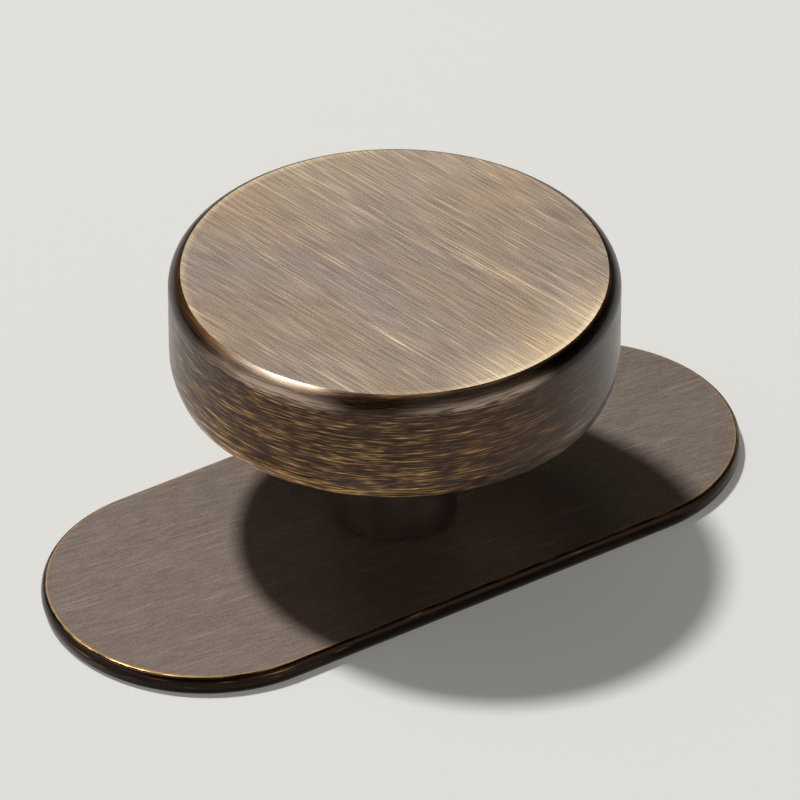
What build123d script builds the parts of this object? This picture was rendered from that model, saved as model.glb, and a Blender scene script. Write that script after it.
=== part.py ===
# Cabinet knob standing on its own backplate, lying on its back face.
# Millimetres, plus Z away from the door, X along the plate, origin at the middle of the plate's back.
import os
from math import radians, tan
from build123d import *

os.makedirs("parts", exist_ok=True)

# Backplate
plateLength = 66.0
plateWidth = 28.0
plateThick = 1.7
edgeBulge = 0.3
edgeBreak = 0.15
screwClearance = 4.5
holeBreak = 0.3

# Head of the knob
headDiameter = 38.0
headThick = 10.2
faceDiameter = 35.9
shoulderDrop = 1.45
drawIn = 0.7
drawInHeight = 2.6
underEdge = 0.4

# Neck of the knob
neckDiameter = 10.6
neckLength = 14.2
neckBevel = 0.6
footBreak = 0.2

# Tapped hole for the fixing screw, drawn at the tapping drill size of an M4 thread
threadDrill = 3.3
threadDepth = 12.0
drillPoint = 118.0
mouthBreak = 0.5

# Backplate section from the middle out to the barrel shaped edge
endRadius = plateWidth / 2
halfStraight = plateLength / 2 - endRadius
faceRadius = endRadius - edgeBulge


def plateOutline(plane):
    # the section of one half: flat back, barrel edge, flat front
    with BuildSketch(plane) as section:
        with BuildLine():
            foot = (faceRadius, 0.0)
            rim = (faceRadius, plateThick)
            Line((0.0, 0.0), foot)
            ThreePointArc(foot, (endRadius, plateThick / 2), rim)
            Line(rim, (0.0, plateThick))
            Line((0.0, plateThick), (0.0, 0.0))
        make_face()
        fillet(section.vertices().sort_by_distance((*rim, 0.0))[0], edgeBreak)
    return section.sketch


with BuildPart() as plateBody:
    for side in (1, -1):
        end = revolve(plateOutline(Plane.XZ), Axis.Z, mode=Mode.PRIVATE)
        add(end.moved(Location((side * halfStraight, 0.0, 0.0))))
    half = plateOutline(Plane.YZ)
    bar = extrude(half, halfStraight, both=True, mode=Mode.PRIVATE)
    add(bar)
    add(mirror(bar, Plane.XZ))
    Cylinder(screwClearance / 2, 3 * plateThick, mode=Mode.SUBTRACT)
    boreEdges = plateBody.edges().filter_by(GeomType.CIRCLE)
    boreEdges = [e for e in boreEdges if abs(e.radius - screwClearance / 2) < 0.01]
    chamfer(boreEdges, holeBreak)

# Turned knob: neck and head in one piece, on top of the plate
neckRadius = neckDiameter / 2
headRadius = headDiameter / 2
faceEdge = faceDiameter / 2
footZ = plateThick
underZ = footZ + neckLength
topZ = underZ + headThick
shoulderZ = topZ - shoulderDrop
underRadius = headRadius - drawIn
drillRadius = threadDrill / 2
drillTip = drillRadius / tan(radians(drillPoint / 2))
mouthRadius = drillRadius + mouthBreak

with BuildPart() as knobBody:
    with BuildSketch(Plane.XZ) as profile:
        with BuildLine():
            Line((0.0, footZ), (neckRadius, footZ))
            Line((neckRadius, footZ), (neckRadius, underZ))
            Line((neckRadius, underZ), (underRadius, underZ))
            draw = TangentArc(
                (headRadius, underZ + drawInHeight),
                (underRadius, underZ),
                tangent=(0.0, -1.0),
            )
            shoulder = TangentArc(
                (headRadius, shoulderZ), (faceEdge, topZ), tangent=(0.0, 1.0)
            )
            Line(draw @ 0, shoulder @ 0)
            Line(shoulder @ 1, (0.0, topZ))
            Line((0.0, topZ), (0.0, footZ))
        make_face()
        lip = profile.vertices().sort_by_distance((underRadius, underZ, 0.0))[0]
        fillet(lip, underEdge)
        for corner, bevel in (
            ((neckRadius, underZ, 0.0), neckBevel),
            ((neckRadius, footZ, 0.0), footBreak),
        ):
            chamfer(profile.vertices().sort_by_distance(corner)[0], bevel)
    revolve(axis=Axis.Z)
    with BuildSketch(Plane.XZ):
        with BuildLine():
            Polyline(
                (0.0, footZ),
                (mouthRadius, footZ),
                (drillRadius, footZ + mouthBreak),
                (drillRadius, footZ + threadDepth),
                (0.0, footZ + threadDepth + drillTip),
                close=True,
            )
        make_face()
    revolve(axis=Axis.Z, mode=Mode.SUBTRACT)

export_step(plateBody.part, "parts/backplate.step")
export_step(knobBody.part, "parts/knob.step")

for name, body in (("backplate", plateBody.part), ("knob", knobBody.part)):
    box = body.bounding_box()
    print(name, "volume", round(body.volume, 1), "solids", len(body.solids()))
    print("  from", [round(v, 3) for v in box.min], "to", [round(v, 3) for v in box.max])
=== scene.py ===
import math

import bpy
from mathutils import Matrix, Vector


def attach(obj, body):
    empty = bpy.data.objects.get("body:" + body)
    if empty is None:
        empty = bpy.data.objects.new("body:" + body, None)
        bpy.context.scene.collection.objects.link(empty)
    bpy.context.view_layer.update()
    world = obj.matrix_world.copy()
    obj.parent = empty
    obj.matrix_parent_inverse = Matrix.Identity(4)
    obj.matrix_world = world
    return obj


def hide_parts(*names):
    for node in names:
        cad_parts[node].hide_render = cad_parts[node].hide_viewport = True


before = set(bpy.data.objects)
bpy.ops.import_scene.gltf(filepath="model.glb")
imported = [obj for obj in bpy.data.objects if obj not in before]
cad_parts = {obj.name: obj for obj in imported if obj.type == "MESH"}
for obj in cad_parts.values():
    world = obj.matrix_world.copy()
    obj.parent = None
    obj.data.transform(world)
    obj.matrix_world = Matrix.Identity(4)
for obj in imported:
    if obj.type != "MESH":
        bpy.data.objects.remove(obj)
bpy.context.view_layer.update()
mm = 0.001


# Helpers

def linear(hexColour):
    # sRGB hex to the linear values that Blender's sockets hold
    parts = [int(hexColour[i:i + 2], 16) / 255 for i in (1, 3, 5)]
    return [p / 12.92 if p <= 0.04045 else ((p + 0.055) / 1.055) ** 2.4 for p in parts] + [1.0]


def addNode(tree, kind, inputs, stops=(), **settings):
    # one node with its settings; an input is a value or another node's output
    node = tree.nodes.new("ShaderNode" + kind)
    for name, value in settings.items():
        setattr(node, name, value)
    for i, (place, colour) in enumerate(stops):
        element = node.color_ramp.elements[i] if i < 2 else node.color_ramp.elements.new(place)
        element.position, element.color = place, linear(colour)
    for name, value in inputs.items():
        if isinstance(value, bpy.types.NodeSocket):
            tree.links.new(value, node.inputs[name])
        else:
            node.inputs[name].default_value = value
    return node.outputs


def newMaterial(name):
    material = bpy.data.materials.new(name)
    material.use_nodes = True
    material.node_tree.nodes.clear()
    return material, material.node_tree


def surfacePoint(tree):
    # in millimetres: the surface point, its heading from the Z axis, its distance from it and its height
    coords = addNode(tree, "TexCoord", {})["Object"]
    point = addNode(tree, "VectorMath", {0: coords, "Scale": 1000.0}, operation="SCALE")[0]
    level = addNode(tree, "VectorMath", {0: point, 1: (1, 1, 0)}, operation="MULTIPLY")[0]
    heading = addNode(tree, "VectorMath", {0: level}, operation="NORMALIZE")[0]
    radius = addNode(tree, "VectorMath", {0: level}, operation="LENGTH")["Value"]
    return point, heading, radius, addNode(tree, "SeparateXYZ", {0: point})[2]


def grain(tree, point, cell, seed, angle=0.0, detail=1.0):
    # noise drawn out to cells of the given size in millimetres, turned by an angle in the XY plane
    turned = (0, 0, math.radians(angle))
    place = {"Vector": point, "Location": (seed, 0, 0), "Rotation": turned, "Scale": cell}
    spot = addNode(tree, "Mapping", place, vector_type="TEXTURE")[0]
    return addNode(tree, "TexNoise", {"Vector": spot, "Scale": 1.0, "Detail": detail})[0]


def sumOf(tree, start, shares):
    # start plus each value times its share
    for value, share in shares:
        start = addNode(tree, "Math", {0: value, 1: share, 2: start}, operation="MULTIPLY_ADD")[0]
    return start


def productOf(tree, first, *others):
    for other in others:
        first = addNode(tree, "Math", {0: first, 1: other}, operation="MULTIPLY")[0]
    return first


def facing(tree, heading, azimuth, start, full):
    # 0 to 1 as the heading turns towards a side, from one angle off it to a smaller one
    side = (math.cos(math.radians(azimuth)), math.sin(math.radians(azimuth)), 0)
    match = addNode(tree, "VectorMath", {0: heading, 1: side}, operation="DOT_PRODUCT")["Value"]
    ends = {0: match, 1: math.cos(math.radians(start)), 2: math.cos(math.radians(full))}
    return addNode(tree, "MapRange", ends, interpolation_type="SMOOTHSTEP")[0]


def finishMetal(tree, colour, roughness, metallic, coat, stretch=0.0, spread=None, bump=None):
    # coat is the lacquer's share. Spread is the direction across the brush lines, in which they widen a
    # highlight. Bump is a pattern and its depth in millimetres
    inputs = {"Base Color": colour, "Roughness": roughness, "Metallic": metallic}
    inputs.update({"Coat Weight": coat, "Coat Roughness": 0.15, "Anisotropic": stretch})
    if spread:
        inputs["Tangent"] = addNode(tree, "CombineXYZ", dict(enumerate(spread)))[0]
    if bump:
        inputs["Normal"] = addNode(tree, "Bump", {"Distance": bump[1] * mm, "Height": bump[0]})[0]
    shader = addNode(tree, "BsdfPrincipled", inputs)[0]
    addNode(tree, "OutputMaterial", {"Surface": shader})


def addPiece(name, points, faces, slots, materials, sharpAngle):
    mesh = bpy.data.meshes.new(name)
    mesh.from_pydata([[c * mm for c in p] for p in points], [], faces)
    for material in materials:
        mesh.materials.append(material)
    mesh.polygons.foreach_set("material_index", slots)
    mesh.polygons.foreach_set("use_smooth", [True] * len(faces))
    mesh.set_sharp_from_angle(angle=math.radians(sharpAngle))
    mesh.update()
    piece = bpy.data.objects.new(name, mesh)
    bpy.context.scene.collection.objects.link(piece)
    return piece


# Camera: a long lens, aimed so that the neck's foot falls where the photograph has it
cameraView = {
    "azimuth": -33.6,  # turned from looking along +Y
    "elevation": 35.6,
    "imagePixels": 800,
    "focalPixels": 9000.0,
    "distance": 0.767,
    "footPixel": (394.8, 505.0),
    "footHeight": 1.7 * mm,
}

turn, tilt = math.radians(cameraView["azimuth"]), math.radians(cameraView["elevation"])
camRight = Vector((math.cos(turn), math.sin(turn), 0))
camAhead = Vector((-math.sin(turn), math.cos(turn), 0))
camForward = camAhead * math.cos(tilt) - Vector((0, 0, math.sin(tilt)))
camDown = camForward.cross(camRight)
middle, focal = cameraView["imagePixels"] / 2, cameraView["focalPixels"]
offX, offY = [(p - middle) / focal for p in cameraView["footPixel"]]
camera = bpy.data.objects.new("camera", bpy.data.cameras.new("camera"))
bpy.context.scene.collection.objects.link(camera)
camera.data.sensor_width = 36.0
camera.data.lens = focal / cameraView["imagePixels"] * camera.data.sensor_width
camera.data.clip_start, camera.data.clip_end = 0.01, 50
reachOut = (camForward + camRight * offX + camDown * offY) * cameraView["distance"]
camera.location = Vector((0, 0, cameraView["footHeight"])) - reachOut
camera.rotation_mode = "QUATERNION"
camera.rotation_quaternion = camForward.to_track_quat("-Z", "Y")
bpy.context.scene.camera = camera
print("camera placed")


# Knob: one turned piece, drawn as a section spun round its axis. Lengths in millimetres, angles in degrees
knobValues = {
    "footZ": 1.7,
    "neckR": 5.3,
    "neckLength": 14.2,
    "footBreak": 0.2,
    "neckBevel": 0.6,
    "headThick": 10.2,
    "headR": 19.0,
    "faceR": 17.95,
    "faceRings": (4.5, 9.0, 13.5),
    "shoulderDrop": 1.45,
    "shoulderSteps": 14,
    "drawIn": 0.7,
    "drawInHeight": 2.6,
    "drawInSteps": 10,
    "underEaseTop": 0.25,
    "underEase": [(0.12, 0.13, 1), (0.0, 0.03, 1), (-0.2, 0.0, 2)],  # out, up, finish, round the lower edge
    "underRings": (14.0, 10.0),
    "boreR": 1.65,
    "mouthBreak": 0.5,
    "boreDepth": 12.0,
    "drillPoint": 118.0,
    "threadPitch": 0.7,
    "threadRows": 8,
    "threadDepth": 0.35,
    "threadRunIn": 0.35,
    "threadRunOut": 1.5,
    "columns": 192,
    "brushAngle": -79.0,
    "faceTones": [(0.2, "#8a796d"), (0.42, "#aa998c"), (0.6, "#c1ad98"), (0.8, "#dcc6a2"), (1.0, "#f8e4c0")],
    "faceTints": [(0.0, "#fcfdff"), (1.0, "#fffaf0")],
    "sideTones": [(0.0, "#1a110b"), (0.22, "#432e21"), (0.42, "#725535"), (0.7, "#b48e55"), (1.0, "#eac98a")],
    # pale colour of the shoulder's painted sheen and painted reflections, partly rubbed wear
    "rubbedSheenColour": "#a99685",
    "amberColour": "#b0814e",
    "neckTones": [(0.3, "#70625a"), (0.7, "#827269")],
    "boreTones": [(0.3, "#b8924c"), (0.7, "#c9a45c")],
    # painted sheen, painted reflections and painted shade on the shoulder, and its amber wear: a heading, and
    # how far off it each starts and is whole
    "rubbedSheenPlace": (199, 25, 7),
    "paintedLeftReflectionPlace": (208, 18, 6),
    "paintedRightPlace": (259, 24, 6),
    "paintedShadePlace": (306, 42, 18),
    "amberPlace": (158, 36, 16),
}


def arcBetween(start, end, tangent, steps):
    # points of the circular arc that leaves start along tangent and ends at end
    sx, sy = start
    ex, ey = end
    nx, ny = -tangent[1], tangent[0]
    dx, dy = ex - sx, ey - sy
    radius = (dx * dx + dy * dy) / (2 * (dx * nx + dy * ny))
    cx, cy = sx + nx * radius, sy + ny * radius
    a0 = math.atan2(sy - cy, sx - cx)
    a1 = math.atan2(ey - cy, ex - cx)
    sweep = (a1 - a0) % (2 * math.pi) if radius > 0 else -((a0 - a1) % (2 * math.pi))
    bends = [a0 + sweep * i / steps for i in range(steps + 1)]
    return [(cx + abs(radius) * math.cos(a), cy + abs(radius) * math.sin(a)) for a in bends]


def threadRadius(z, angle, values):
    # a metric thread's flat crests and roots, fading out at both ends; z is measured from the foot
    phase = (z / values["threadPitch"] - angle / (2 * math.pi)) % 1.0
    wave = min(1.0, max(0.0, (0.375 - abs(phase - 0.5)) / 0.3125))
    rise = min(1.0, (z - values["mouthBreak"]) / values["threadRunIn"])
    fade = min(1.0, (values["boreDepth"] - z) / values["threadRunOut"])
    return values["boreR"] + values["threadDepth"] * wave * max(0.0, min(rise, fade))


def knobSection(values):
    # (radius, height, finish) from the middle of the face round to the mouth of the bore. The finishes are
    # 0 face, 1 side, 2 underside and neck, 3 bore
    footZ, neckR, headR = values["footZ"], values["neckR"], values["headR"]
    underZ = footZ + values["neckLength"]
    topZ = underZ + values["headThick"]
    shoulderZ, drawTopZ = topZ - values["shoulderDrop"], underZ + values["drawInHeight"]
    underR, bevel, foot = headR - values["drawIn"], values["neckBevel"], values["footBreak"]
    boreR, mouth = values["boreR"], values["mouthBreak"]
    rows = [(r, topZ, 0) for r in (*values["faceRings"], values["faceR"])]
    shoulder = arcBetween((headR, shoulderZ), (values["faceR"], topZ), (0, 1), values["shoulderSteps"])
    rows += [(r, z, 1) for r, z in reversed(shoulder[:-1])]
    rows += [(headR, shoulderZ + (drawTopZ - shoulderZ) * t, 1) for t in (0.25, 0.5, 0.75)]
    draw = arcBetween((headR, drawTopZ), (underR, underZ), (0, -1), values["drawInSteps"])
    rows += [(r, z, 1) for r, z in draw if z > underZ + values["underEaseTop"]]
    rows += [(underR + out, underZ + up, finish) for out, up, finish in values["underEase"]]
    rows += [(r, underZ, 2) for r in (*values["underRings"], neckR + bevel)]
    rows += [(neckR, underZ - bevel, 2)]
    rows += [(neckR, footZ + values["neckLength"] * t, 2) for t in (0.75, 0.5, 0.25)]
    rows += [(neckR, footZ + foot, 2), (neckR - foot, footZ, 2)]
    rows += [(boreR + mouth, footZ, 2), (boreR, footZ + mouth, 2)]
    return rows


def spinKnob(values):
    # the section's rows spun round, then the tapped bore up to the drill's tip
    columns = values["columns"]
    angles = [2 * math.pi * i / columns for i in range(columns)]
    rows = knobSection(values)
    points = [(0.0, 0.0, rows[0][1])]
    for r, z, finish in rows:
        points += [(r * math.cos(a), r * math.sin(a), z) for a in angles]
    finishes = [finish for r, z, finish in rows]
    low, high = values["mouthBreak"], values["boreDepth"]
    steps = int((high - low) / (values["threadPitch"] / values["threadRows"]))
    for i in range(1, steps + 1):
        z = low + (high - low) * i / steps
        for a in angles:
            r = threadRadius(z, a, values)
            points.append((r * math.cos(a), r * math.sin(a), values["footZ"] + z))
        finishes.append(3)
    tipRise = values["boreR"] / math.tan(math.radians(values["drillPoint"] / 2))
    points.append((0.0, 0.0, values["footZ"] + high + tipRise))
    faces, slots = [], []
    for i in range(columns):
        faces.append((0, 1 + i, 1 + (i + 1) % columns))
        slots.append(0)
    for row in range(len(finishes) - 1):
        here, after = 1 + row * columns, 1 + (row + 1) * columns
        for i in range(columns):
            j = (i + 1) % columns
            faces.append((here + i, after + i, after + j, here + j))
            slots.append(finishes[row + 1])
    last, tip = 1 + (len(finishes) - 1) * columns, len(points) - 1
    for i in range(columns):
        faces.append((last + i, tip, last + (i + 1) % columns))
        slots.append(3)
    return points, faces, slots


# Aged brass. The patina is a brown chemical finish, brushed back so that the raised grain shows yellow
# metal, under clear lacquer. To the eye: dull brown mirrors with gold scratches and pale glancing edges.
# The face, the neck and above all the plate's top also look partly matt, so their metallic is below 1

def brushedFace(values):
    # straight belt lines across the face, bright bare metal where they run off the rim, a painted highlight
    # beside it, and painted light towards the back.
    # A real belt line is 0.02 to 0.05 mm wide; here its noise cells are some 0.2 mm, so that it shows
    material, tree = newMaterial("belt brushed aged brass")
    point, heading, radius = surfacePoint(tree)[:3]
    angle, faceR = values["brushAngle"], values["faceR"]
    fine = grain(tree, point, (4.0, 0.18, 1), 31, angle)
    line = grain(tree, point, (15.0, 0.24, 1), 77, angle)
    short = grain(tree, point, (5.0, 0.18, 1), 203, angle)
    bundle = grain(tree, point, (40.0, 3.0, 1), 140, angle)
    cloud = grain(tree, point, (16.0, 9.0, 1), 11, angle)
    grit = grain(tree, point, (0.15, 0.15, 0.15), 5)
    gathered = sumOf(tree, -0.15, [(line, 1.0), (bundle, 0.3)])
    lines = addNode(tree, "MapRange", {0: gathered, 1: 0.59, 2: 0.76})[0]
    thin = addNode(tree, "MapRange", {0: short, 1: 0.61, 2: 0.78})[0]
    # the rim: a thin bright line of bare metal where the lines leave it, and a wider painted highlight beside
    # the line
    rimEnds = {0: radius, 1: faceR - 0.7, 2: faceR - 0.1}
    rim = addNode(tree, "MapRange", rimEnds, interpolation_type="SMOOTHSTEP")[0]
    wideEnds = {0: radius, 1: faceR - 6.0, 2: faceR}
    wide = addNode(tree, "MapRange", wideEnds, interpolation_type="SMOOTHSTEP")[0]
    outer = addNode(tree, "MapRange", {0: radius, 1: 4.0, 2: faceR})[0]
    rimLine = productOf(tree, rim, facing(tree, heading, angle - 4, 52, 20))
    paintedRimHighlight = productOf(tree, wide, facing(tree, heading, angle + 5, 40, 10))
    entry = productOf(tree, rim, facing(tree, heading, angle + 200, 70, 40))
    # painted light: the face is made lighter towards its back
    paintedBackLight = productOf(tree, outer, facing(tree, heading, angle + 143, 80, 25))
    tone = sumOf(tree, 0.005, [(fine, 0.24), (grit, 0.55), (bundle, 0.04), (lines, 0.34), (thin, 0.38)])
    tone = sumOf(tree, tone, [(rimLine, 0.26), (paintedRimHighlight, 0.36), (entry, 0.25), (paintedBackLight, 0.16)])
    colour = addNode(tree, "ValToRGB", {0: tone}, values["faceTones"])[0]
    warmth = addNode(tree, "MapRange", {0: cloud, 1: 0.35, 2: 0.65})[0]
    tint = addNode(tree, "ValToRGB", {0: warmth}, values["faceTints"])[0]
    colour = addNode(tree, "Mix", {0: 1.0, 6: colour, 7: tint}, data_type="RGBA", blend_type="MULTIPLY")[2]
    rough = addNode(tree, "MapRange", {0: fine, 1: 0.2, 2: 0.8, 3: 0.36, 4: 0.46})[0]
    turned = math.radians(angle)
    finishMetal(tree, colour, rough, 0.85, 0.1, 0.6, (-math.sin(turned), math.cos(turned), 0), (fine, 0.004))
    return material


def turnedSide(values):
    # dark patina round the head, with short gold scratches along the rings that thicken downward and left,
    # and painted sheen, painted reflections and painted shade on the shoulder.
    # A real lathe scratch is 0.03 to 0.06 mm wide; here its noise cells are over 0.1 mm, so that it shows
    material, tree = newMaterial("lathe brushed aged brass")
    point, heading, radius, height = surfacePoint(tree)
    underZ = values["footZ"] + values["neckLength"]
    topZ = underZ + values["headThick"]
    shoulderZ, faceR = topZ - values["shoulderDrop"], values["faceR"]
    down = addNode(tree, "Math", {0: radius, 1: height}, operation="SUBTRACT")[0]
    # each ring is also slid along, so that the scratches of different rings never stack in columns
    rise = addNode(tree, "VectorMath", {0: (6.0, 4.3, 1.0), "Scale": down}, operation="SCALE")[0]
    around = (values["headR"], values["headR"], 0)
    wrap = addNode(tree, "VectorMath", {0: heading, 1: around, 2: rise}, operation="MULTIPLY_ADD")[0]
    fine = grain(tree, wrap, (2.6, 2.6, 0.13), 0)
    markA = grain(tree, wrap, (2.8, 2.8, 0.12), 60)
    markB = grain(tree, wrap, (1.3, 1.3, 0.12), 150)
    patch = grain(tree, point, (5.0, 5.0, 1.6), 220)
    low = addNode(tree, "MapRange", {0: height, 1: topZ - 2, 2: topZ - 9})[0]
    hemEnds = {0: height, 1: underZ + 2.0, 2: underZ + 0.3}
    hem = addNode(tree, "MapRange", hemEnds, interpolation_type="SMOOTHSTEP")[0]
    left = facing(tree, heading, 195, 90, 10)
    lift = sumOf(tree, -0.085, [(patch, 0.13), (low, 0.04), (left, 0.04), (hem, 0.05)])
    longMarks = addNode(tree, "MapRange", {0: sumOf(tree, lift, [(markA, 1.0)]), 1: 0.53, 2: 0.78})[0]
    shortMarks = addNode(tree, "MapRange", {0: sumOf(tree, lift, [(markB, 1.0)]), 1: 0.54, 2: 0.78})[0]
    marks = sumOf(tree, longMarks, [(shortMarks, 0.8)])
    # the shoulder keeps its patina above a ragged line, but for paler patches left and right of the front,
    # which are painted sheen and painted reflections
    ragged = sumOf(tree, height, [(fine, 1.2), (markB, 1.2)])
    aboveEnds = {0: ragged, 1: shoulderZ + 1.0, 2: shoulderZ + 1.65}
    above = addNode(tree, "MapRange", aboveEnds, interpolation_type="SMOOTHSTEP")[0]
    # front left: a paler patch, partly rubbed wear and partly painted sheen round the lamp's highlight
    rubbedSheen = productOf(tree, above, facing(tree, heading, *values["rubbedSheenPlace"]))
    # painted reflections: pale bands low on the shoulder at front left and front right, and a painted sheen
    # over the whole shoulder at front right
    bandEnds = {0: height, 1: shoulderZ + 1.1, 2: shoulderZ + 0.4}
    band = addNode(tree, "MapRange", bandEnds, interpolation_type="SMOOTHSTEP")[0]
    paintedLeftReflection = productOf(tree, above, band, facing(tree, heading, *values["paintedLeftReflectionPlace"]))
    paintedRightSheen = productOf(tree, above, facing(tree, heading, *values["paintedRightPlace"]))
    paintedRightReflection = productOf(tree, paintedRightSheen, band)
    # painted shade: the shoulder is made darker at the front right, with fewer scratches
    dark = productOf(tree, above, facing(tree, heading, *values["paintedShadePlace"]))
    clear = sumOf(tree, 1.0, [(above, -0.5), (rubbedSheen, 0.3), (dark, -0.5)])
    marks = productOf(tree, marks, clear, sumOf(tree, 0.92, [(left, 0.8)]))
    # its rim is worn amber at the back left and gold at the front
    wear = addNode(tree, "MapRange", {0: radius, 1: faceR + 0.7, 2: faceR})[0]
    amberPlace = facing(tree, heading, *values["amberPlace"])
    amber = productOf(tree, wear, above, amberPlace, sumOf(tree, 0.2, [(fine, 1.4)]))
    line = addNode(tree, "MapRange", {0: radius, 1: faceR + 0.4, 2: faceR + 0.1})[0]
    frontRim = productOf(tree, line, above, facing(tree, heading, values["brushAngle"], 60, 30), fine)
    # tone: grain, scratches, the front rim's bare metal, and the painted shade at the front right
    tone = sumOf(tree, -0.03, [(fine, 0.34), (marks, 0.3), (frontRim, 1.3), (above, -0.05), (dark, -0.12)])
    colour = addNode(tree, "ValToRGB", {0: tone}, values["sideTones"])[0]
    # the painted sheen and painted reflections, streaked by the grain, in a pale colour
    paleSheen = sumOf(tree, 0.0, [(rubbedSheen, 0.4), (paintedLeftReflection, 0.8), (paintedRightSheen, 0.3), (paintedRightReflection, 0.55)])
    sheenStreaks = productOf(tree, paleSheen, sumOf(tree, -0.1, [(fine, 2.2)]))
    # mix in the pale colour of the painted sheen, and the rim's amber wear
    for share, worn in ((sheenStreaks, values["rubbedSheenColour"]), (amber, values["amberColour"])):
        colour = addNode(tree, "Mix", {0: share, 6: colour, 7: linear(worn)}, data_type="RGBA")[2]
    rough = addNode(tree, "MapRange", {0: fine, 1: 0.2, 2: 0.8, 3: 0.38, 4: 0.43})[0]
    finishMetal(tree, colour, rough, 1.0, 0.38, 0.75, (0, 0, 1), (fine, 0.003))
    return material


def plainNeck(values):
    # the patina as it came from the bath, unbrushed: a plain grey brown, nearly black in the head's shade
    material, tree = newMaterial("patinated brass, unbrushed")
    point = surfacePoint(tree)[0]
    cloud = grain(tree, point, (2.8, 2.8, 2.8), 0, 0, 3.0)
    colour = addNode(tree, "ValToRGB", {0: cloud}, values["neckTones"])[0]
    rough = addNode(tree, "MapRange", {0: cloud, 1: 0.3, 2: 0.7, 3: 0.3, 4: 0.36})[0]
    finishMetal(tree, colour, rough, 0.9, 0.5, bump=(cloud, 0.002))
    return material


def machinedBore(values):
    # drilled and tapped after finishing, so the bare yellow metal shows, with fine rings from the tools
    material, tree = newMaterial("freshly cut brass")
    point = surfacePoint(tree)[0]
    cut = grain(tree, point, (2.0, 2.0, 0.12), 0, 0, 2.0)
    colour = addNode(tree, "ValToRGB", {0: cut}, values["boreTones"])[0]
    rough = addNode(tree, "MapRange", {0: cut, 1: 0.2, 2: 0.8, 3: 0.2, 4: 0.32})[0]
    finishMetal(tree, colour, rough, 1.0, 0.0, bump=(cut, 0.003))
    return material


boreBrass = machinedBore(knobValues)
knobFinishes = [brushedFace(knobValues), turnedSide(knobValues), plainNeck(knobValues), boreBrass]
knob = addPiece("turned_knob", *spinKnob(knobValues), knobFinishes, 12)
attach(knob, "root")
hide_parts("knob")
print("knob turned")


# Backplate: the same section all the way round a pill shaped line. Lengths in millimetres, angles in degrees
plateValues = {
    "halfStraight": 19.0,
    "endR": 14.0,
    "bulge": 0.3,
    "bulgeSteps": 12,
    "thick": 1.7,
    "rimEase": [(0.02, -0.093), (-0.03, -0.03), (-0.1125, 0.0)],  # out and up, round the top edge
    "faceInsets": (0.2, 2.74, 6.165),
    "holeR": 2.25,
    "holeBreak": 0.3,
    "endSteps": 64,
    "sideSteps": 24,
    "brushAngle": -5.5,
    "topTones": [(0.2, "#7a6c63"), (0.5, "#97887c"), (0.8, "#b1a197")],
    "rimColour": "#c9a267",
    "edgeTones": [(0.0, "#15100c"), (0.3, "#2e231b"), (0.6, "#7a5f38"), (1.0, "#e0be7c")],
}


def platePerimeter(values):
    # (centre x, angle) of each column, anticlockwise from the right end's lower corner
    half, ends, sides = values["halfStraight"], values["endSteps"], values["sideSteps"]
    columns = []
    for side, start in ((1, -90.0), (-1, 90.0)):
        for i in range(ends):
            columns.append((side * half, math.radians(start + 180.0 * i / ends)))
        for i in range(sides):
            columns.append((side * half * (1 - 2 * i / sides), math.radians(start + 180.0)))
    return columns


def sweepPlate(values):
    # each row follows the pill shaped line, or the ring of the screw hole. The finishes are 0 top, 1 edge
    # and back, 2 bore
    columns = platePerimeter(values)
    thick, half = values["thick"], values["thick"] / 2
    faceR = values["endR"] - values["bulge"]
    sagR = (half * half + values["bulge"] ** 2) / (2 * values["bulge"])
    reach = math.asin(half / sagR)
    bends = [-reach + 2 * reach * i / values["bulgeSteps"] for i in range(values["bulgeSteps"] + 1)]
    section = [(values["endR"] - sagR + sagR * math.cos(a), half + sagR * math.sin(a)) for a in bends]
    cornerR, cornerZ = section.pop()
    section += [(cornerR + out, cornerZ + up) for out, up in values["rimEase"]]
    holeR, mouthR, holeBreak = values["holeR"], values["holeR"] + values["holeBreak"], values["holeBreak"]
    rims = [faceR - inset for inset in values["faceInsets"]]
    outline = [("line", r, z, 1) for r, z in section]
    outline += [("line", r, thick, 0) for r in rims]
    outline += [("ring", mouthR, thick, 0), ("ring", holeR, thick - holeBreak, 2)]
    outline += [("ring", holeR, holeBreak, 2), ("ring", mouthR, 0.0, 2)]
    outline += [("line", r, 0.0, 1) for r in reversed(rims[1:])]
    points, finishes = [], []
    for kind, radius, z, finish in outline:
        for centre, angle in columns:
            if kind == "line":
                points.append((centre + radius * math.cos(angle), radius * math.sin(angle), z))
            else:
                a = math.atan2(faceR * math.sin(angle), centre + faceR * math.cos(angle))
                points.append((radius * math.cos(a), radius * math.sin(a), z))
        finishes.append(finish)
    count, faces, slots = len(columns), [], []
    for row in range(len(finishes)):
        nextRow = (row + 1) % len(finishes)
        here, after = row * count, nextRow * count
        for i in range(count):
            j = (i + 1) % count
            faces.append((here + i, here + j, after + j, after + i))
            slots.append(finishes[nextRow])
    return points, faces, slots


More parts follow.
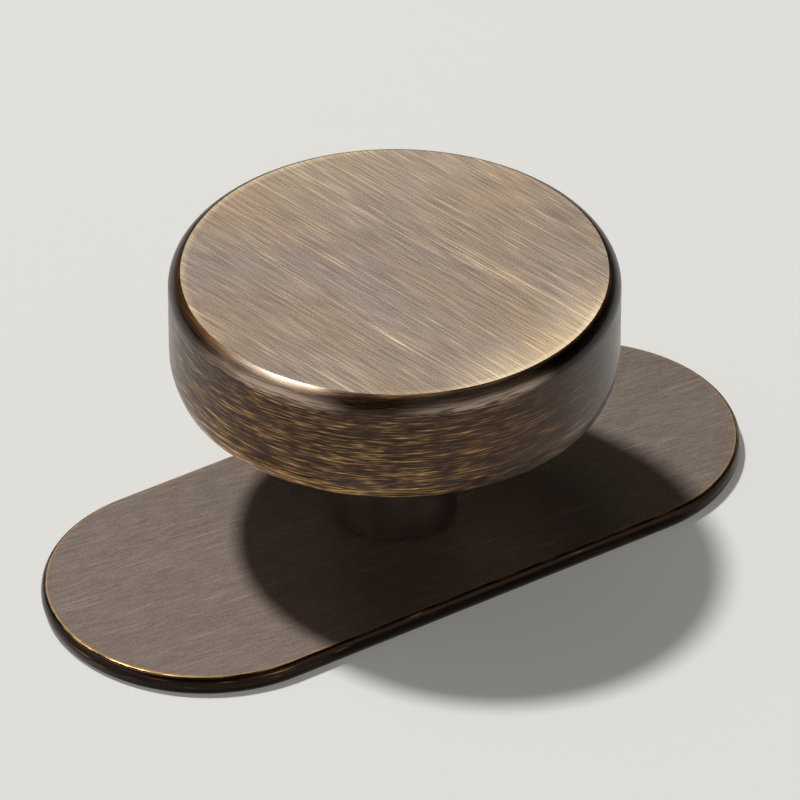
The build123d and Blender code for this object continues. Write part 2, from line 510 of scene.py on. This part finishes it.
def brushedPlate(values):
    # fine brushing nearly along the plate under satin lacquer: an even grey brown, nearly black in shade.
    # The real lines are finer than 0.05 mm; here their noise cells are some 0.2 mm, so that they show
    material, tree = newMaterial("satin brushed aged brass")
    point = surfacePoint(tree)[0]
    angle = values["brushAngle"]
    fine = grain(tree, point, (1.8, 0.16, 1), 53, angle)
    line = grain(tree, point, (6.0, 0.24, 1), 99, angle)
    cloud = grain(tree, point, (14.0, 5.0, 1), 160, angle)
    grit = grain(tree, point, (0.15, 0.15, 0.15), 5)
    lines = addNode(tree, "MapRange", {0: line, 1: 0.62, 2: 0.78})[0]
    tone = sumOf(tree, -0.06, [(fine, 0.45), (cloud, 0.12), (lines, 0.3), (grit, 0.55)])
    colour = addNode(tree, "ValToRGB", {0: tone}, values["topTones"])[0]
    # bare metal in a thin broken line along the rim, found by the distance from the plate's middle line
    away = addNode(tree, "VectorMath", {0: point, 1: (1, 1, 0)}, operation="MULTIPLY")[0]
    away = addNode(tree, "VectorMath", {0: away}, operation="ABSOLUTE")[0]
    away = addNode(tree, "VectorMath", {0: away, 1: (values["halfStraight"], 0, 0)}, operation="SUBTRACT")[0]
    away = addNode(tree, "VectorMath", {0: away, 1: (0, 0, 0)}, operation="MAXIMUM")[0]
    reach = addNode(tree, "VectorMath", {0: away}, operation="LENGTH")["Value"]
    faceR = values["endR"] - values["bulge"]
    rim = addNode(tree, "MapRange", {0: reach, 1: faceR - 0.3, 2: faceR - 0.18})[0]
    worn = productOf(tree, rim, addNode(tree, "MapRange", {0: fine, 1: 0.3, 2: 0.6, 3: 0.3})[0])
    rimMix = {0: worn, 6: colour, 7: linear(values["rimColour"])}
    colour = addNode(tree, "Mix", rimMix, data_type="RGBA")[2]
    rough = addNode(tree, "MapRange", {0: fine, 1: 0.2, 2: 0.8, 3: 0.46, 4: 0.52})[0]
    turned = math.radians(angle)
    finishMetal(tree, colour, rough, 0.6, 0.05, 0.3, (-math.sin(turned), math.cos(turned), 0), (fine, 0.002))
    return material


def plateEdge(values):
    # dark patina round the barrel edge with faint long scratches, rubbed to a thin gold line along the top
    material, tree = newMaterial("aged brass edge")
    point, _, _, height = surfacePoint(tree)
    fine = grain(tree, point, (2.2, 2.2, 0.14), 15)
    mark = grain(tree, point, (4.0, 4.0, 0.2), 70)
    scratch = addNode(tree, "MapRange", {0: mark, 1: 0.6, 2: 0.75})[0]
    line = addNode(tree, "MapRange", {0: height, 1: values["thick"] - 0.13, 2: values["thick"] - 0.06})[0]
    broken = addNode(tree, "MapRange", {0: fine, 1: 0.3, 2: 0.6, 3: 0.35})[0]
    tone = sumOf(tree, 0.02, [(fine, 0.3), (scratch, 0.38), (productOf(tree, line, broken), 0.55)])
    colour = addNode(tree, "ValToRGB", {0: tone}, values["edgeTones"])[0]
    rough = addNode(tree, "MapRange", {0: fine, 1: 0.2, 2: 0.8, 3: 0.24, 4: 0.34})[0]
    finishMetal(tree, colour, rough, 1.0, 0.05, bump=(fine, 0.002))
    return material


plateFinishes = [brushedPlate(plateValues), plateEdge(plateValues), boreBrass]
plate = addPiece("pill_backplate", *sweepPlate(plateValues), plateFinishes, 30)
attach(plate, "root")
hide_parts("backplate")
print("backplate made")


# Floor and light: a pale paper floor in a dark room, a soft panel round a small key lamp high at the back
# left, low windows of soft light near the horizon, and a faint fill from the front. Lengths in metres
stageValues = {
    "floorReach": 4.0,
    "floorDrop": 0.02 * mm,  # keeps the paper clear of the plate's back
    "floorColour": "#d5d4d0",
    "paperGlow": 0.25,
    "roomColour": "#fff5ec",
    "roomLight": 0.004,
    "skirtingLight": 0.74,
    "skirtingHeights": (0.1, 0.06),
    "keyAzimuth": 109.0,
    "keyElevation": 66.2,
    "keyDistance": 3.0,
    "keySize": 0.33,
    "keyPower": 74.0,
    "panelLight": 0.3,
    "panelAngles": (34.0, 22.0),
    "windows": [(172.0, 30.0, 1.8), (288.0, 32.0, 1.4)],  # azimuth, half width and strength
    "windowHeights": (0.3, 0.16),
    "windowSoftness": 0.6,
    "fillLight": 0.03,
}

reach = stageValues["floorReach"]
floorMesh = bpy.data.meshes.new("floor")
corners = [(-reach, -reach, 0), (reach, -reach, 0), (reach, reach, 0), (-reach, reach, 0)]
floorMesh.from_pydata(corners, [], [(0, 1, 2, 3)])
floor = bpy.data.objects.new("floor", floorMesh)
floor.location.z = -stageValues["floorDrop"]
bpy.context.scene.collection.objects.link(floor)

# plain pale paper without sheen, which looks a little lighter to the eye and in the metal than it is lit
floorPaint, tree = newMaterial("matt studio paper")
paperColour = linear(stageValues["floorColour"])
path = addNode(tree, "LightPath", {})
seen = sumOf(tree, path["Is Camera Ray"], [(path["Is Glossy Ray"], 1.0), (path["Is Transmission Ray"], 1.0)])
glowStrength = productOf(tree, seen, stageValues["paperGlow"])
glow = addNode(tree, "Emission", {"Color": paperColour, "Strength": glowStrength})[0]
matt = addNode(tree, "BsdfDiffuse", {"Color": paperColour})[0]
addNode(tree, "OutputMaterial", {"Surface": addNode(tree, "AddShader", {0: matt, 1: glow})[0]})
floorMesh.materials.append(floorPaint)

# the room, by the direction that is looked in
world = bpy.data.worlds.new("studio")
bpy.context.scene.world = world
world.use_nodes = True
tree = world.node_tree
tree.nodes.clear()
keyTurn, keyTilt = math.radians(stageValues["keyAzimuth"]), math.radians(stageValues["keyElevation"])
outward = math.cos(keyTilt)
toKey = Vector((math.cos(keyTurn) * outward, math.sin(keyTurn) * outward, math.sin(keyTilt)))
sky = addNode(tree, "TexCoord", {})["Generated"]
up = addNode(tree, "SeparateXYZ", {0: sky})[2]
dark, lit = stageValues["skirtingHeights"]
skirting = addNode(tree, "MapRange", {0: up, 1: dark, 2: lit})[0]
nearKey = addNode(tree, "VectorMath", {0: sky, 1: toKey}, operation="DOT_PRODUCT")["Value"]
outer, inner = [math.cos(math.radians(v)) for v in stageValues["panelAngles"]]
panel = addNode(tree, "MapRange", {0: nearKey, 1: outer, 2: inner}, interpolation_type="SMOOTHSTEP")[0]
dark, lit = stageValues["windowHeights"]
low = addNode(tree, "MapRange", {0: up, 1: dark, 2: lit})[0]
inFront = addNode(tree, "VectorMath", {0: sky, 1: -camAhead}, operation="DOT_PRODUCT")["Value"]
front = addNode(tree, "MapRange", {0: inFront, 1: 0.0, 2: 0.5}, interpolation_type="SMOOTHSTEP")[0]
total = sumOf(tree, stageValues["roomLight"], [(skirting, stageValues["skirtingLight"])])
total = sumOf(tree, total, [(panel, stageValues["panelLight"]), (front, stageValues["fillLight"])])
for azimuth, spread, strength in stageValues["windows"]:
    window = facing(tree, sky, azimuth, spread, spread * stageValues["windowSoftness"])
    total = sumOf(tree, total, [(productOf(tree, low, window), strength)])
room = addNode(tree, "Background", {"Color": linear(stageValues["roomColour"]), "Strength": total})[0]
addNode(tree, "OutputWorld", {"Surface": room})

keyLamp = bpy.data.lights.new("key softbox", "AREA")
keyLamp.shape = "DISK"
keyLamp.size = stageValues["keySize"]
keyLamp.energy = stageValues["keyPower"]
key = bpy.data.objects.new("key softbox", keyLamp)
bpy.context.scene.collection.objects.link(key)
key.location = toKey * stageValues["keyDistance"]
key.rotation_mode = "QUATERNION"
key.rotation_quaternion = (-toKey).to_track_quat("-Z", "Y")

bpy.context.scene.view_settings.view_transform = "Standard"
print("stage lit")
